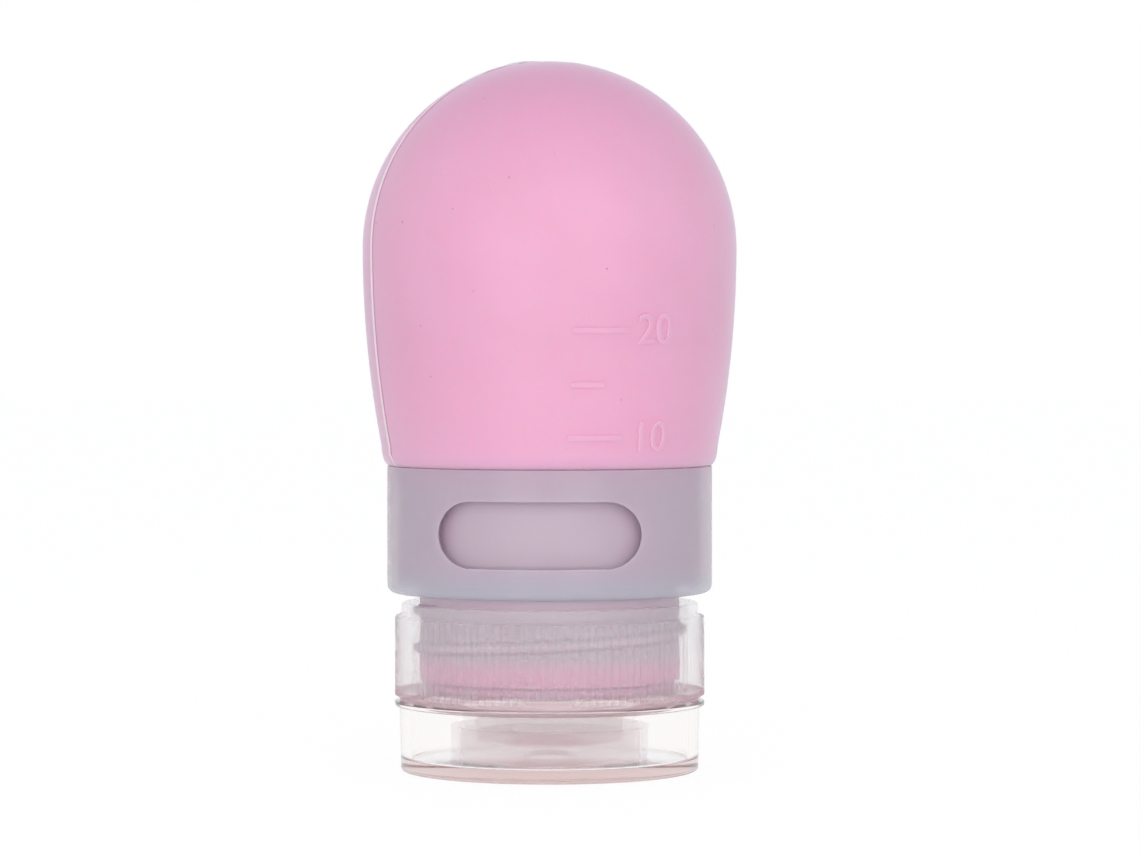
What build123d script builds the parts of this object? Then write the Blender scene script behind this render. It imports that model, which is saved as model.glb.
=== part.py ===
"""Travel squeeze bottle: a silicone body with a label collar, a screw cap and a flip lid.

The bottle stands on its closed lid, as it is kept between uses, so +Z runs from the lid up to
the dome. The origin is the centre of the lid's outer face. The lid's hinge is at the back, on
the +Y side, and the thumb notch is at the front. Lengths are in millimetres, turns in degrees.
"""

import os
from math import cos, radians, sin, sqrt

from build123d import *

# Silicone body
body_radius = 20.0
belly_arc_radius = 112.0
equator_height = 23.05  # from the shoulder up to the widest ring
body_wall = 2.2
shoulder_round = 0.9
inner_round_share = 0.44  # of the ledge between the mouth and the belly's wall
mouth_radius = 10.7
neck_wall = 1.8
lip_overhang = 0.9
lip_thickness = 1.0
lip_round = 0.3

# Threaded neck, the hard tube round the silicone neck
neck_tube_gap = 0.1
neck_tube_wall = 1.3
neck_flange_overhang = 1.9
neck_flange_thickness = 1.2
groove_depth = 0.45
key_width = 1.6
key_height = 0.7
key_count = 2

# Label ring
ring_gap = 0.1
ring_wall = 1.8
ring_end_gap = 0.3
divider_height = 0.2
divider_width = 0.5
field_count = 4  # label fields round the ring, each between two dividers

# Collar sleeve
collar_wall = 1.2
collar_height = 13.55
collar_running_gap = 0.1
collar_ring_gap = 0.2
collar_floor = 1.2
collar_round = 0.9
collar_shoulder_gap = 0.15
window_width = 21.2
window_height = 7.0
window_turn = -4.0

# Screw cap
thread_room = 1.0  # between the neck's tube and the cap's bore, for the thread of both
cap_wall = 1.2
cap_height = 10.4
cap_collar_gap = 1.05
cap_lip_gap = 0.2
cap_rim_height = 1.25
cap_rim_step = 0.2
cap_edge = 0.3
deck_thickness = 0.9
step_inset = 1.5
step_height = 0.62
knurl_depth = 0.5
knurl_count = 120
knurl_base_gap = 0.3
knurl_edge = 0.25
notch_width = 5.0
notch_height = 1.2

# Spout on the cap, with the valve inside it
spout_radius = 9.4
spout_draft = 0.3
spout_height = 4.8
spout_wall = 1.1
spout_floor = 1.2
spout_round = 0.4
orifice_radius = 5.0

# Slit valve and its retainer
valve_side_gap = 0.2
valve_seat_gap = 0.05
valve_flange_thickness = 1.0
valve_orifice_gap = 0.25
valve_cup_depth = 0.85  # how far the cup hangs into the orifice, below the flange
membrane_thickness = 0.6
valve_roll_width = 0.7
slit_length = 5.0
slit_width = 0.15
retainer_side_gap = 0.1
retainer_wall = 2.0
retainer_height = 2.0

# Flip lid
lid_height = 7.45
lid_cap_gap = 0.15
lid_step_gap = 0.25
lid_wall = 1.25
lid_draft = 0.15
lid_plate = 1.4
lid_round = 1.0
rim_bead_width = 0.5
rim_bead_height = 0.45
seal_gap = 0.3
seal_wall = 0.9
seal_height = 3.6
seal_round = 0.3
nub_radius = 3.2
nub_height = 0.9

# Hinge
pin_radius = 0.6
pin_gap = 0.05
barrel_radius = 1.25
barrel_length = 5.6
barrel_skirt_gap = 0.25
ear_thickness = 1.6
ear_side_gap = 0.3

# One overrun for every cut that has to pass clean through
overrun = 2.0

# Radii that follow from the sizes above, from the mouth outwards
silicone_neck_radius = mouth_radius + neck_wall
lip_radius = silicone_neck_radius + lip_overhang
neck_bore_radius = silicone_neck_radius + neck_tube_gap
neck_radius = neck_bore_radius + neck_tube_wall
groove_radius = neck_radius - groove_depth
flange_radius = neck_radius + neck_flange_overhang
ring_bore_radius = neck_radius + ring_gap
ring_radius = ring_bore_radius + ring_wall
divider_radius = ring_radius + divider_height
collar_bore_radius = divider_radius + collar_ring_gap
collar_radius = collar_bore_radius + collar_wall
cap_bore_radius = neck_radius + thread_room
skirt_radius = cap_bore_radius + cap_wall
knurl_radius = skirt_radius + knurl_depth
step_radius = skirt_radius - step_inset
cap_rim_radius = skirt_radius - cap_rim_step
lid_bore_radius = step_radius + lid_step_gap
lid_radius = lid_bore_radius + lid_wall
rim_bead_radius = lid_radius + rim_bead_width
seal_bore_radius = spout_radius + seal_gap
chamber_radius = spout_radius - spout_draft - spout_wall

# Heights that follow, from the lid upwards
cap_base_z = lid_height + lid_cap_gap
step_z = cap_base_z - step_height
spout_z = step_z - spout_height
valve_seat_z = spout_z + spout_floor
deck_top_z = cap_base_z + deck_thickness
lip_z = deck_top_z + cap_lip_gap
neck_end_z = lip_z + lip_thickness
cap_top_z = cap_base_z + cap_height
knurl_z = cap_base_z + knurl_base_gap
knurl_top_z = cap_top_z - cap_rim_height
collar_z = cap_top_z + cap_collar_gap
collar_top_z = collar_z + collar_height
shoulder_z = collar_top_z + collar_shoulder_gap
equator_z = shoulder_z + equator_height
flange_z = shoulder_z - neck_flange_thickness
ring_z = collar_z + collar_floor + ring_end_gap
hinge_y = knurl_radius + barrel_radius + barrel_skirt_gap
hinge_z = lid_height + lid_cap_gap / 2


def nearest_corner(sketch, x, z):
    """The sketch's vertex that lies nearest to a point of the profile."""
    return sketch.vertices().sort_by_distance((x, z))[0]


def belly_radius(offset, z):
    """The radius of the belly's arc at height z, moved inwards by offset."""
    reach = belly_arc_radius - offset
    return body_radius - belly_arc_radius + sqrt(reach**2 - (equator_z - z) ** 2)


def belly_middle(offset, z):
    """A point of the belly's arc halfway in height between z and the equator."""
    middle_z = (equator_z + z) / 2
    return belly_radius(offset, middle_z), middle_z


def dome_middle(radius):
    """The point of the dome's quarter circle at 45 degrees."""
    return radius * cos(radians(45)), equator_z + radius * sin(radians(45))


def barrel_brow():
    """The point of the hinge barrel where a 45 degree slope from the skirt touches it."""
    reach = barrel_radius * sin(radians(45))
    return hinge_y + reach, hinge_z + reach


def knurl_outline():
    """Corners of the knurled ring, one crest and one root for each rib."""
    corners = []
    for index in range(2 * knurl_count):
        radius = skirt_radius if index % 2 else knurl_radius
        turn = radians(180 * index / knurl_count)
        corners.append((radius * cos(turn), radius * sin(turn)))
    return corners


# The silicone body is one moulding: dome, belly, shoulder, neck and the lip that seals the cap.
inner_radius = body_radius - body_wall
inner_floor_z = shoulder_z + body_wall
inner_ledge_radius = belly_radius(body_wall, inner_floor_z)
inner_round = inner_round_share * (inner_ledge_radius - mouth_radius)
with BuildPart() as silicone_bottle:
    with BuildSketch(Plane.XZ) as bottle_section:
        with BuildLine():
            ThreePointArc(
                (0, equator_z + body_radius),
                dome_middle(body_radius),
                (body_radius, equator_z),
            )
            ThreePointArc(
                (body_radius, equator_z),
                belly_middle(0, shoulder_z),
                (belly_radius(0, shoulder_z), shoulder_z),
            )
            Polyline(
                (belly_radius(0, shoulder_z), shoulder_z),
                (silicone_neck_radius, shoulder_z),
                (silicone_neck_radius, neck_end_z),
                (lip_radius, neck_end_z),
                (lip_radius, lip_z),
                (mouth_radius, lip_z),
                (mouth_radius, inner_floor_z),
                (inner_ledge_radius, inner_floor_z),
            )
            ThreePointArc(
                (inner_ledge_radius, inner_floor_z),
                belly_middle(body_wall, inner_floor_z),
                (inner_radius, equator_z),
            )
            ThreePointArc(
                (inner_radius, equator_z),
                dome_middle(inner_radius),
                (0, equator_z + inner_radius),
            )
            Line((0, equator_z + inner_radius), (0, equator_z + body_radius))
        make_face()
        fillet(
            nearest_corner(bottle_section, belly_radius(0, shoulder_z), shoulder_z),
            shoulder_round,
        )
        fillet(
            nearest_corner(bottle_section, inner_ledge_radius, inner_floor_z),
            inner_round,
        )
        fillet(
            nearest_corner(bottle_section, mouth_radius, inner_floor_z),
            inner_round,
        )
        fillet(nearest_corner(bottle_section, lip_radius, lip_z), lip_round)
    revolve(axis=Axis.Z)
silicone_bottle.part.label = "silicone_bottle"

# The threaded neck is a hard tube between the body's shoulder and its lip. Its flange backs
# the shoulder, its groove holds the collar's floor, and its keys stop the label ring turning.
with BuildPart() as threaded_neck:
    with BuildSketch(Plane.XZ):
        with BuildLine():
            Polyline(
                (neck_bore_radius, neck_end_z),
                (neck_radius, neck_end_z),
                (neck_radius, collar_z - collar_running_gap),
                (groove_radius, collar_z - collar_running_gap),
                (groove_radius, collar_z + collar_floor + collar_running_gap),
                (neck_radius, collar_z + collar_floor + collar_running_gap),
                (neck_radius, flange_z),
                (flange_radius, flange_z),
                (flange_radius, shoulder_z),
                (neck_bore_radius, shoulder_z),
                close=True,
            )
        make_face()
    revolve(axis=Axis.Z)
    with BuildSketch(Plane.XY.offset(ring_z)):
        with PolarLocations(neck_radius, key_count):
            Rectangle(2 * key_height, key_width)
    extrude(amount=flange_z - ring_z)
threaded_neck.part.label = "threaded_neck"

# The label ring stands on the keys of the neck, behind the collar's window. Thin dividers
# part its plain label fields.
with BuildPart() as label_ring:
    with BuildSketch(Plane.XY.offset(ring_z)):
        Circle(ring_radius)
        with PolarLocations(ring_radius, field_count, start_angle=180 / field_count):
            Rectangle(2 * divider_height, divider_width)
        Circle(ring_bore_radius, mode=Mode.SUBTRACT)
        with PolarLocations(ring_bore_radius, key_count):
            Rectangle(
                2 * (key_height + ring_gap),
                key_width + 2 * ring_gap,
                mode=Mode.SUBTRACT,
            )
    extrude(amount=flange_z - ring_z)
label_ring.part.label = "label_ring"

# The collar sleeve turns on the neck. Its floor snaps into the neck's groove, and its window
# is pulled straight out at the front, as a side core leaves it.
with BuildPart() as collar_sleeve:
    with BuildSketch(Plane.XZ) as collar_section:
        with BuildLine():
            Polyline(
                (groove_radius + collar_running_gap, collar_z),
                (collar_radius, collar_z),
                (collar_radius, collar_top_z),
                (collar_bore_radius, collar_top_z),
                (collar_bore_radius, collar_z + collar_floor),
                (groove_radius + collar_running_gap, collar_z + collar_floor),
                close=True,
            )
        make_face()
        fillet(nearest_corner(collar_section, collar_radius, collar_z), collar_round)
    revolve(axis=Axis.Z)
    window_plane = Plane(
        origin=(0, 0, (collar_z + collar_top_z) / 2),
        x_dir=(cos(radians(window_turn)), sin(radians(window_turn)), 0),
        z_dir=(sin(radians(window_turn)), -cos(radians(window_turn)), 0),
    )
    with BuildSketch(window_plane):
        SlotOverall(window_width, window_height)
    extrude(amount=collar_radius + overrun, mode=Mode.SUBTRACT)
collar_sleeve.part.label = "collar_sleeve"

# The slit valve is a silicone cup. Its flange lies on the floor of the spout, and its slit
# membrane closes the orifice.
valve_flange_radius = chamber_radius - valve_side_gap
cup_radius = orifice_radius - valve_orifice_gap
flange_base_z = valve_seat_z + valve_seat_gap
cup_z = flange_base_z - valve_cup_depth
valve_top_z = flange_base_z + valve_flange_thickness
with BuildPart() as slit_valve:
    with BuildSketch(Plane.XZ):
        with BuildLine():
            Polyline(
                (0, cup_z),
                (cup_radius, cup_z),
                (cup_radius, flange_base_z),
                (valve_flange_radius, flange_base_z),
                (valve_flange_radius, valve_top_z),
                (cup_radius - valve_roll_width, valve_top_z),
                (cup_radius - valve_roll_width, cup_z + membrane_thickness),
                (0, cup_z + membrane_thickness),
                close=True,
            )
        make_face()
    revolve(axis=Axis.Z)
    with BuildSketch(Plane.XY.offset(cup_z)):
        Rectangle(slit_length, slit_width)
        Rectangle(slit_width, slit_length)
    extrude(amount=membrane_thickness, mode=Mode.SUBTRACT)
slit_valve.part.label = "slit_valve"

# The retainer ring is pushed into the spout from inside and holds the valve's flange down.
retainer_radius = chamber_radius - retainer_side_gap
with BuildPart() as valve_retainer:
    with BuildSketch(Plane.XY.offset(valve_top_z)):
        Circle(retainer_radius)
        Circle(retainer_radius - retainer_wall, mode=Mode.SUBTRACT)
    extrude(amount=retainer_height)
valve_retainer.part.label = "valve_retainer"

# The knurled band of the cap: straight ribs with their ends chamfered.
with BuildPart() as knurl_band:
    with BuildSketch(Plane.XY.offset(knurl_z)):
        with BuildLine():
            Polyline(knurl_outline(), close=True)
        make_face()
        Circle(cap_bore_radius + cap_wall / 2, mode=Mode.SUBTRACT)
    extrude(amount=knurl_top_z - knurl_z)
    with BuildSketch(Plane.XZ) as band_bounds:
        with Locations((knurl_radius / 2, (knurl_z + knurl_top_z) / 2)):
            Rectangle(knurl_radius, knurl_top_z - knurl_z)
        chamfer(
            [
                nearest_corner(band_bounds, knurl_radius, knurl_z),
                nearest_corner(band_bounds, knurl_radius, knurl_top_z),
            ],
            knurl_edge,
        )
    revolve(axis=Axis.Z, mode=Mode.INTERSECT)

# The screw cap: a knurled skirt, a deck with the step that the lid closes on, and the spout.
with BuildPart() as screw_cap:
    with BuildSketch(Plane.XZ) as cap_section:
        with BuildLine():
            Polyline(
                (orifice_radius, spout_z),
                (spout_radius - spout_draft, spout_z),
                (spout_radius, step_z),
                (step_radius, step_z),
                (step_radius, cap_base_z),
                (skirt_radius, cap_base_z),
                (skirt_radius, knurl_top_z),
                (cap_rim_radius, knurl_top_z),
                (cap_rim_radius, cap_top_z),
                (cap_bore_radius, cap_top_z),
                (cap_bore_radius, deck_top_z),
                (chamber_radius, deck_top_z),
                (chamber_radius, valve_seat_z),
                (orifice_radius, valve_seat_z),
                close=True,
            )
        make_face()
        fillet(
            nearest_corner(cap_section, spout_radius - spout_draft, spout_z),
            spout_round,
        )
        chamfer(nearest_corner(cap_section, cap_rim_radius, cap_top_z), cap_edge)
    revolve(axis=Axis.Z)
    add(knurl_band.part)
    with BuildSketch(Plane.XY.offset(cap_base_z)):
        with Locations((0, -(skirt_radius + knurl_radius) / 2 - knurl_depth)):
            Rectangle(notch_width, 3 * knurl_depth)
    extrude(amount=notch_height, mode=Mode.SUBTRACT)
    ear_x = barrel_length / 2 + ear_side_gap + ear_thickness / 2
    brow_y, brow_z = barrel_brow()
    for side in (-1, 1):
        with BuildSketch(Plane.YZ.offset(side * ear_x - ear_thickness / 2)):
            with BuildLine():
                Polyline(
                    (cap_bore_radius, cap_base_z),
                    (hinge_y, cap_base_z),
                    (brow_y, brow_z),
                    (skirt_radius, brow_z + brow_y - skirt_radius),
                    (cap_bore_radius, brow_z + brow_y - skirt_radius),
                    close=True,
                )
            make_face()
            with Locations((hinge_y, hinge_z)):
                Circle(barrel_radius)
                Circle(pin_radius + pin_gap, mode=Mode.SUBTRACT)
        extrude(amount=ear_thickness)
    with BuildSketch(Plane.XY.offset(deck_top_z)):
        Circle(cap_bore_radius)
    extrude(amount=cap_height, mode=Mode.SUBTRACT)
screw_cap.part.label = "screw_cap"

# The flip lid: a clear cup with a rim bead, a ring that seals round the spout, a nub that
# keeps the slit shut, and the hinge's barrel with its two trunnions.
seal_z = lid_plate + seal_height
nub_dome_radius = (nub_radius**2 + nub_height**2) / (2 * nub_height)
with BuildPart() as flip_lid:
    with BuildSketch(Plane.XZ) as lid_section:
        with BuildLine():
            Polyline(
                (0, 0),
                (lid_radius - lid_draft, 0),
                (lid_radius, lid_height - rim_bead_height),
                (rim_bead_radius, lid_height - rim_bead_height),
                (rim_bead_radius, lid_height),
                (lid_bore_radius, lid_height),
                (lid_bore_radius, lid_plate),
                (seal_bore_radius + seal_wall, lid_plate),
                (seal_bore_radius + seal_wall, seal_z),
                (seal_bore_radius, seal_z),
                (seal_bore_radius, lid_plate),
                (nub_radius, lid_plate),
            )
            RadiusArc(
                (nub_radius, lid_plate), (0, lid_plate + nub_height), -nub_dome_radius
            )
            Line((0, lid_plate + nub_height), (0, 0))
        make_face()
        fillet(nearest_corner(lid_section, lid_radius - lid_draft, 0), lid_round)
        fillet(nearest_corner(lid_section, seal_bore_radius, seal_z), seal_round)
    revolve(axis=Axis.Z)
    with BuildSketch(Plane.YZ.offset(-barrel_length / 2)):
        with Locations((hinge_y, hinge_z)):
            Circle(barrel_radius)
        with Locations(((hinge_y + lid_bore_radius) / 2, hinge_z - barrel_radius)):
            Rectangle(
                hinge_y - lid_bore_radius,
                lid_height - hinge_z + barrel_radius,
                align=(Align.CENTER, Align.MIN),
            )
    extrude(amount=barrel_length)
    with BuildSketch(Plane.XY.offset(lid_height)):
        Circle(lid_bore_radius)
    extrude(amount=-rim_bead_height, mode=Mode.SUBTRACT)
    trunnion_reach = barrel_length / 2 + ear_side_gap + ear_thickness
    with BuildSketch(Plane.YZ.offset(-trunnion_reach)):
        with Locations((hinge_y, hinge_z)):
            Circle(pin_radius)
    extrude(amount=2 * trunnion_reach)
flip_lid.part.label = "flip_lid"

os.makedirs("parts", exist_ok=True)
for piece in (
    silicone_bottle,
    threaded_neck,
    label_ring,
    collar_sleeve,
    slit_valve,
    valve_retainer,
    screw_cap,
    flip_lid,
):
    export_step(piece.part, f"parts/{piece.part.label}.step")
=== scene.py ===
"""Dresses the travel squeeze bottle: silicone body, collar, screw cap, valve and clear flip lid.

Every piece is turned or moulded here at the place where the fixed frame has it, in metres,
with +Z up from the lid on which the bottle stands and the hinge of the lid on the +Y side.
"""

import logging
import math
from collections import Counter
from collections.abc import Callable, Sequence
from dataclasses import dataclass
from enum import Enum
from itertools import pairwise

import bpy
from mathutils import Matrix, Vector


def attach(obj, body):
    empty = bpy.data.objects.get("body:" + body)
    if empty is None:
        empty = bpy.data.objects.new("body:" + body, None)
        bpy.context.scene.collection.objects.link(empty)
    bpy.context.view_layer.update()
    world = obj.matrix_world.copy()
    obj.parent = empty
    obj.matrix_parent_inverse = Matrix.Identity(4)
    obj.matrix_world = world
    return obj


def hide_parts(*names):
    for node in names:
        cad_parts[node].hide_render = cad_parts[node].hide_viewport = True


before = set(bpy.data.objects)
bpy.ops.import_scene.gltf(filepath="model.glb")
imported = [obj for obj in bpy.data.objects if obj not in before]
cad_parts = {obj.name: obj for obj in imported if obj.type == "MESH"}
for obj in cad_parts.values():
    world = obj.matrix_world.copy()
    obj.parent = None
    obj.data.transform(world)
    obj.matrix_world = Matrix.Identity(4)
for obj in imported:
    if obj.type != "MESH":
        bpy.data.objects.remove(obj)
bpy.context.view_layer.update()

MM = 0.001
LOG = logging.getLogger("bottle")

Point = tuple[float, float]
Place = tuple[float, float, float]
Colour = tuple[float, float, float]


class Body(Enum):
    """The moving bodies that a piece can ride on."""

    BOTTLE = "bottle"
    COLLAR = "collar"
    VALVE = "valve"
    CAP = "cap"
    LID = "lid"


class Slot(Enum):
    """The finishes that the record names."""

    BODY = "body_silicone"
    VALVE = "valve_silicone"
    FROSTED = "frosted_plastic"
    LABEL = "label_plastic"
    COLLAR = "collar_plastic"
    CAP = "cap_plastic"
    LID = "lid_plastic"


@dataclass(frozen=True)
class Corner:
    """One corner of a half section.

    Attributes:
        radius: Distance from the axis, in metres.
        height: Height above the table, in metres.
        round: Radius of the rounding, nought for a sharp corner.
    """

    radius: float
    height: float
    round: float = 0.0


@dataclass(frozen=True)
class Sizes:
    """The sizes that several pieces share, in metres."""

    body_radius: float = 20.0 * MM
    belly_arc_radius: float = 112.0 * MM
    shoulder_z: float = 32.75 * MM
    equator_z: float = 55.8 * MM
    body_wall: float = 2.2 * MM
    mouth_radius: float = 10.7 * MM
    silicone_neck_radius: float = 12.5 * MM
    lip_z: float = 8.7 * MM
    neck_end_z: float = 9.7 * MM
    neck_radius: float = 13.9 * MM
    flange_radius: float = 15.8 * MM
    flange_z: float = 31.55 * MM
    ring_z: float = 20.55 * MM
    collar_z: float = 19.05 * MM
    collar_top_z: float = 32.6 * MM
    collar_radius: float = 17.4 * MM
    cap_base_z: float = 7.6 * MM
    cap_top_z: float = 18.0 * MM
    knurl_top_z: float = 16.75 * MM
    skirt_radius: float = 16.1 * MM
    knurl_radius: float = 16.6 * MM
    cap_bore_radius: float = 14.9 * MM
    step_radius: float = 14.6 * MM
    spout_radius: float = 9.4 * MM
    spout_z: float = 2.18 * MM
    valve_seat_z: float = 3.38 * MM
    chamber_radius: float = 8.0 * MM
    orifice_radius: float = 5.0 * MM
    lid_height: float = 7.45 * MM
    hinge_y: float = 18.1 * MM
    hinge_z: float = 7.525 * MM
    barrel_radius: float = 1.25 * MM
    barrel_length: float = 5.6 * MM
    ear_thickness: float = 1.6 * MM
    ear_gap: float = 0.3 * MM
    thread_lead: float = 4.0 * MM


SIZES = Sizes()
FULL_TURN = math.tau
TURN_STEPS = 192
ROD_CHORDS = 48
WELD = 0.001 * MM
DOUBLE = 0.0002 * MM
SMOOTH_BELOW = math.radians(32)
KEY_TURNS = (0, 180)
NOISE_RANGE = (0.3, 0.7)
PATCH_RANGE = (0.35, 0.65)
PATCH_DETAIL = 2.0
MIX_SHARE, MIX_UNDER, MIX_OVER, MIX_RESULT = 0, 6, 7, 2
WHITE = (1.0, 1.0, 1.0)
SPECK_SPACING = 3.0 * MM
SPECK_RADIUS = 0.16 * MM
FILM_TINT = (0.93, 0.94, 1.0)
SEAM_TURN = 201.0
SEAM_ACROSS = (-math.sin(math.radians(SEAM_TURN)), math.cos(math.radians(SEAM_TURN)), 0.0)
# Painted light along the raised seam. The darker tint, laid first and wider, is painted shade at its
# edges. The pale tint, laid over its middle, is a painted highlight on its crest.
SEAM_PAINTED_LIGHT = (
    ((0.88, 0.61, 0.74), (0.32 * MM, 0.38 * MM)),
    ((1.0, 0.93, 0.965), (0.20 * MM, 0.25 * MM)),
)


def leave_edit() -> None:
    """Goes back to object mode."""
    bpy.ops.object.mode_set(mode="OBJECT")


def edit_all() -> None:
    """Enters edit mode with the whole piece selected."""
    bpy.ops.object.mode_set(mode="EDIT")
    bpy.ops.mesh.select_all(action="SELECT")


def clear_selection() -> None:
    """Leaves edit mode and deselects every object."""
    if bpy.context.mode != "OBJECT":
        leave_edit()
    bpy.ops.object.select_all(action="DESELECT")


def named(name: str) -> bpy.types.Object:
    """Gives the piece that was just added and its data a name, and returns it."""
    piece = bpy.context.object
    piece.name = name
    piece.data.name = name
    return piece


def take_up(piece: bpy.types.Object) -> None:
    """Makes a piece the only selected and active one.

    Args:
        piece: The piece to work on.
    """
    clear_selection()
    piece.select_set(True)
    bpy.context.view_layer.objects.active = piece


def set_down(piece: bpy.types.Object) -> None:
    """Puts a piece's place into its mesh, so that its object sits at the origin.

    Args:
        piece: The piece to set down.
    """
    take_up(piece)
    bpy.ops.object.transform_apply(location=True, rotation=True, scale=True)


def smooth(piece: bpy.types.Object) -> None:
    """Shades a piece smooth wherever its faces meet at a small angle.

    Args:
        piece: The piece to shade.
    """
    take_up(piece)
    bpy.ops.object.shade_smooth_by_angle(angle=SMOOTH_BELOW)


def arc(centre: Point, radius: float, start: float, end: float, steps: int) -> list[Point]:
    """Points along an arc of a half section.

    Args:
        centre: The arc's centre, as radius and height.
        radius: The arc's radius.
        start: The angle of the first point, in degrees from straight outwards.
        end: The angle of the last point, in degrees.
        steps: How many chords stand for the arc.

    Returns:
        The points, from start to end.
    """
    points = []
    for step in range(steps + 1):
        turn = math.radians(start + (end - start) * step / steps)
        points.append((centre[0] + radius * math.cos(turn), centre[1] + radius * math.sin(turn)))
    return points


def rounded(corners: Sequence[Corner], steps: int = 5) -> list[Point]:
    """Rounds the corners of a closed half section.

    Args:
        corners: The corners in order. The last is joined to the first.
        steps: How many chords stand for each rounding.

    Returns:
        The outline's points, with the first repeated at the end.
    """
    outline: list[Point] = []
    count = len(corners)
    for index, corner in enumerate(corners):
        here = Vector((corner.radius, corner.height))
        if corner.round <= 0:
            outline.append((here.x, here.y))
            continue
        before = corners[index - 1]
        after = corners[(index + 1) % count]
        inwards = (Vector((before.radius, before.height)) - here).normalized()
        onwards = (Vector((after.radius, after.height)) - here).normalized()
        half = inwards.angle(onwards) / 2
        reach = corner.round / math.tan(half)
        centre = here + (inwards + onwards).normalized() * corner.round / math.sin(half)
        first = here + inwards * reach - centre
        last = here + onwards * reach - centre
        sweep = first.angle_signed(last)
        for step in range(steps + 1):
            spoke = first.copy()
            spoke.rotate(Matrix.Rotation(-sweep * step / steps, 2))
            outline.append((centre.x + spoke.x, centre.y + spoke.y))
    outline.append(outline[0])
    return outline


def draw_path(name: str, places: Sequence[Place]) -> bpy.types.Object:
    """Draws a line by extruding one vertex from place to place, and stays in edit mode.

    Args:
        name: The new piece's name.
        places: The places that the line joins.

    Returns:
        The new piece, all selected in edit mode.
    """
    clear_selection()
    bpy.ops.mesh.primitive_plane_add(size=WELD, location=places[0])
    piece = named(name)
    edit_all()
    bpy.ops.mesh.merge(type="CENTER")
    for place, after in pairwise(places):
        step = tuple(end - start for start, end in zip(place, after))
        bpy.ops.mesh.extrude_vertices_move(TRANSFORM_OT_translate={"value": step})
    bpy.ops.mesh.select_all(action="SELECT")
    return piece


def draw_outline(name: str, outline: Sequence[Point]) -> bpy.types.Object:
    """Draws a half section, given as radius and height, in the XZ plane."""
    return draw_path(name, [(radius, 0.0, height) for radius, height in outline])


def weld_shell(piece: bpy.types.Object) -> None:
    """Merges the doubles of a piece in edit mode, turns its faces outwards and sets it down.

    Args:
        piece: The piece, in edit mode.
    """
    bpy.ops.mesh.select_all(action="SELECT")
    bpy.ops.mesh.remove_doubles(threshold=WELD)
    bpy.ops.mesh.normals_make_consistent(inside=False)
    leave_edit()
    set_down(piece)


def spin(steps: int, angle: float, copies: bool = False) -> None:
    """Turns what is selected round the Z axis, as a surface or as copies."""
    bpy.ops.mesh.spin(steps=steps, angle=angle, dupli=copies, center=(0, 0, 0), axis=(0, 0, 1))


def turn(name: str, outline: Sequence[Point]) -> bpy.types.Object:
    """Turns a piece on the Z axis from its half section.

    Args:
        name: The new piece's name.
        outline: The half section's points, closed or ending on the axis.

    Returns:
        The closed, smooth piece.
    """
    piece = draw_outline(name, outline)
    spin(TURN_STEPS, FULL_TURN)
    weld_shell(piece)
    smooth(piece)
    return piece


def select_vertices(piece: bpy.types.Object, wanted: Callable[[bpy.types.MeshVertex], bool]) -> None:
    """Selects the wanted vertices of a piece and enters edit mode.

    Args:
        piece: The piece, in object mode.
        wanted: Says for a vertex whether it is selected.
    """
    take_up(piece)
    bpy.ops.object.mode_set(mode="EDIT")
    bpy.ops.mesh.select_mode(type="VERT")
    bpy.ops.mesh.select_all(action="DESELECT")
    leave_edit()
    for vertex in piece.data.vertices:
        vertex.select = wanted(vertex)
    bpy.ops.object.mode_set(mode="EDIT")


class Cut(Enum):
    """How one solid works on another."""

    ADD = "UNION"
    REMOVE = "DIFFERENCE"


def work(piece: bpy.types.Object, tool: bpy.types.Object, cut: Cut) -> None:
    """Adds a solid to a piece or takes it away, and clears the solid up.

    Args:
        piece: The piece that stays.
        tool: The solid that is used up.
        cut: Whether it is added or taken away.
    """
    take_up(piece)
    boolean = piece.modifiers.new(cut.name.lower(), "BOOLEAN")
    boolean.operation = cut.value
    boolean.solver = "EXACT"
    boolean.object = tool
    bpy.ops.object.modifier_apply(modifier=boolean.name)
    bpy.data.objects.remove(tool)


def clean(piece: bpy.types.Object) -> None:
    """Merges doubles and dissolves the vertices that only split a straight edge.

    Args:
        piece: The piece that other solids worked on.
    """
    take_up(piece)
    edit_all()
    bpy.ops.mesh.remove_doubles(threshold=DOUBLE)
    leave_edit()
    ends = Counter(index for edge in piece.data.edges for index in edge.vertices)
    select_vertices(piece, lambda vertex: ends[vertex.index] == 2)
    bpy.ops.mesh.dissolve_verts()
    leave_edit()


def block(name: str, centre: Vector, size: Vector, edge: float = 0.0) -> bpy.types.Object:
    """Makes a block with rounded edges.

    Args:
        name: The new piece's name.
        centre: Its centre.
        size: Its lengths along X, Y and Z.
        edge: The width of its bevels.

    Returns:
        The block, set down.
    """
    clear_selection()
    bpy.ops.mesh.primitive_cube_add(size=1, location=centre)
    piece = named(name)
    piece.scale = size
    set_down(piece)
    if edge > 0:
        edit_all()
        bpy.ops.mesh.bevel(offset=edge, segments=3, affect="EDGES")
        leave_edit()
    return piece


def rod(name: str, centre: Vector, radius: float, length: float, edge: float = 0.0) -> bpy.types.Object:
    """Makes a rod along the X axis with rounded ends.

    Args:
        name: The new piece's name.
        centre: Its centre.
        radius: Its radius.
        length: Its length.
        edge: The width of the bevel round each end.

    Returns:
        The rod, set down.
    """
    clear_selection()
    along = (0, math.radians(90), 0)
    bpy.ops.mesh.primitive_cylinder_add(
        vertices=ROD_CHORDS, radius=radius, depth=length, location=centre, rotation=along
    )
    piece = named(name)
    set_down(piece)
    if edge > 0:
        for side in (-1, 1):
            end = length / 2 - WELD
            select_vertices(piece, lambda vertex, side=side: (vertex.co.x - centre.x) * side > end)
            bpy.ops.mesh.bevel(offset=edge, segments=3, affect="EDGES")
            leave_edit()
    return piece


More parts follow.
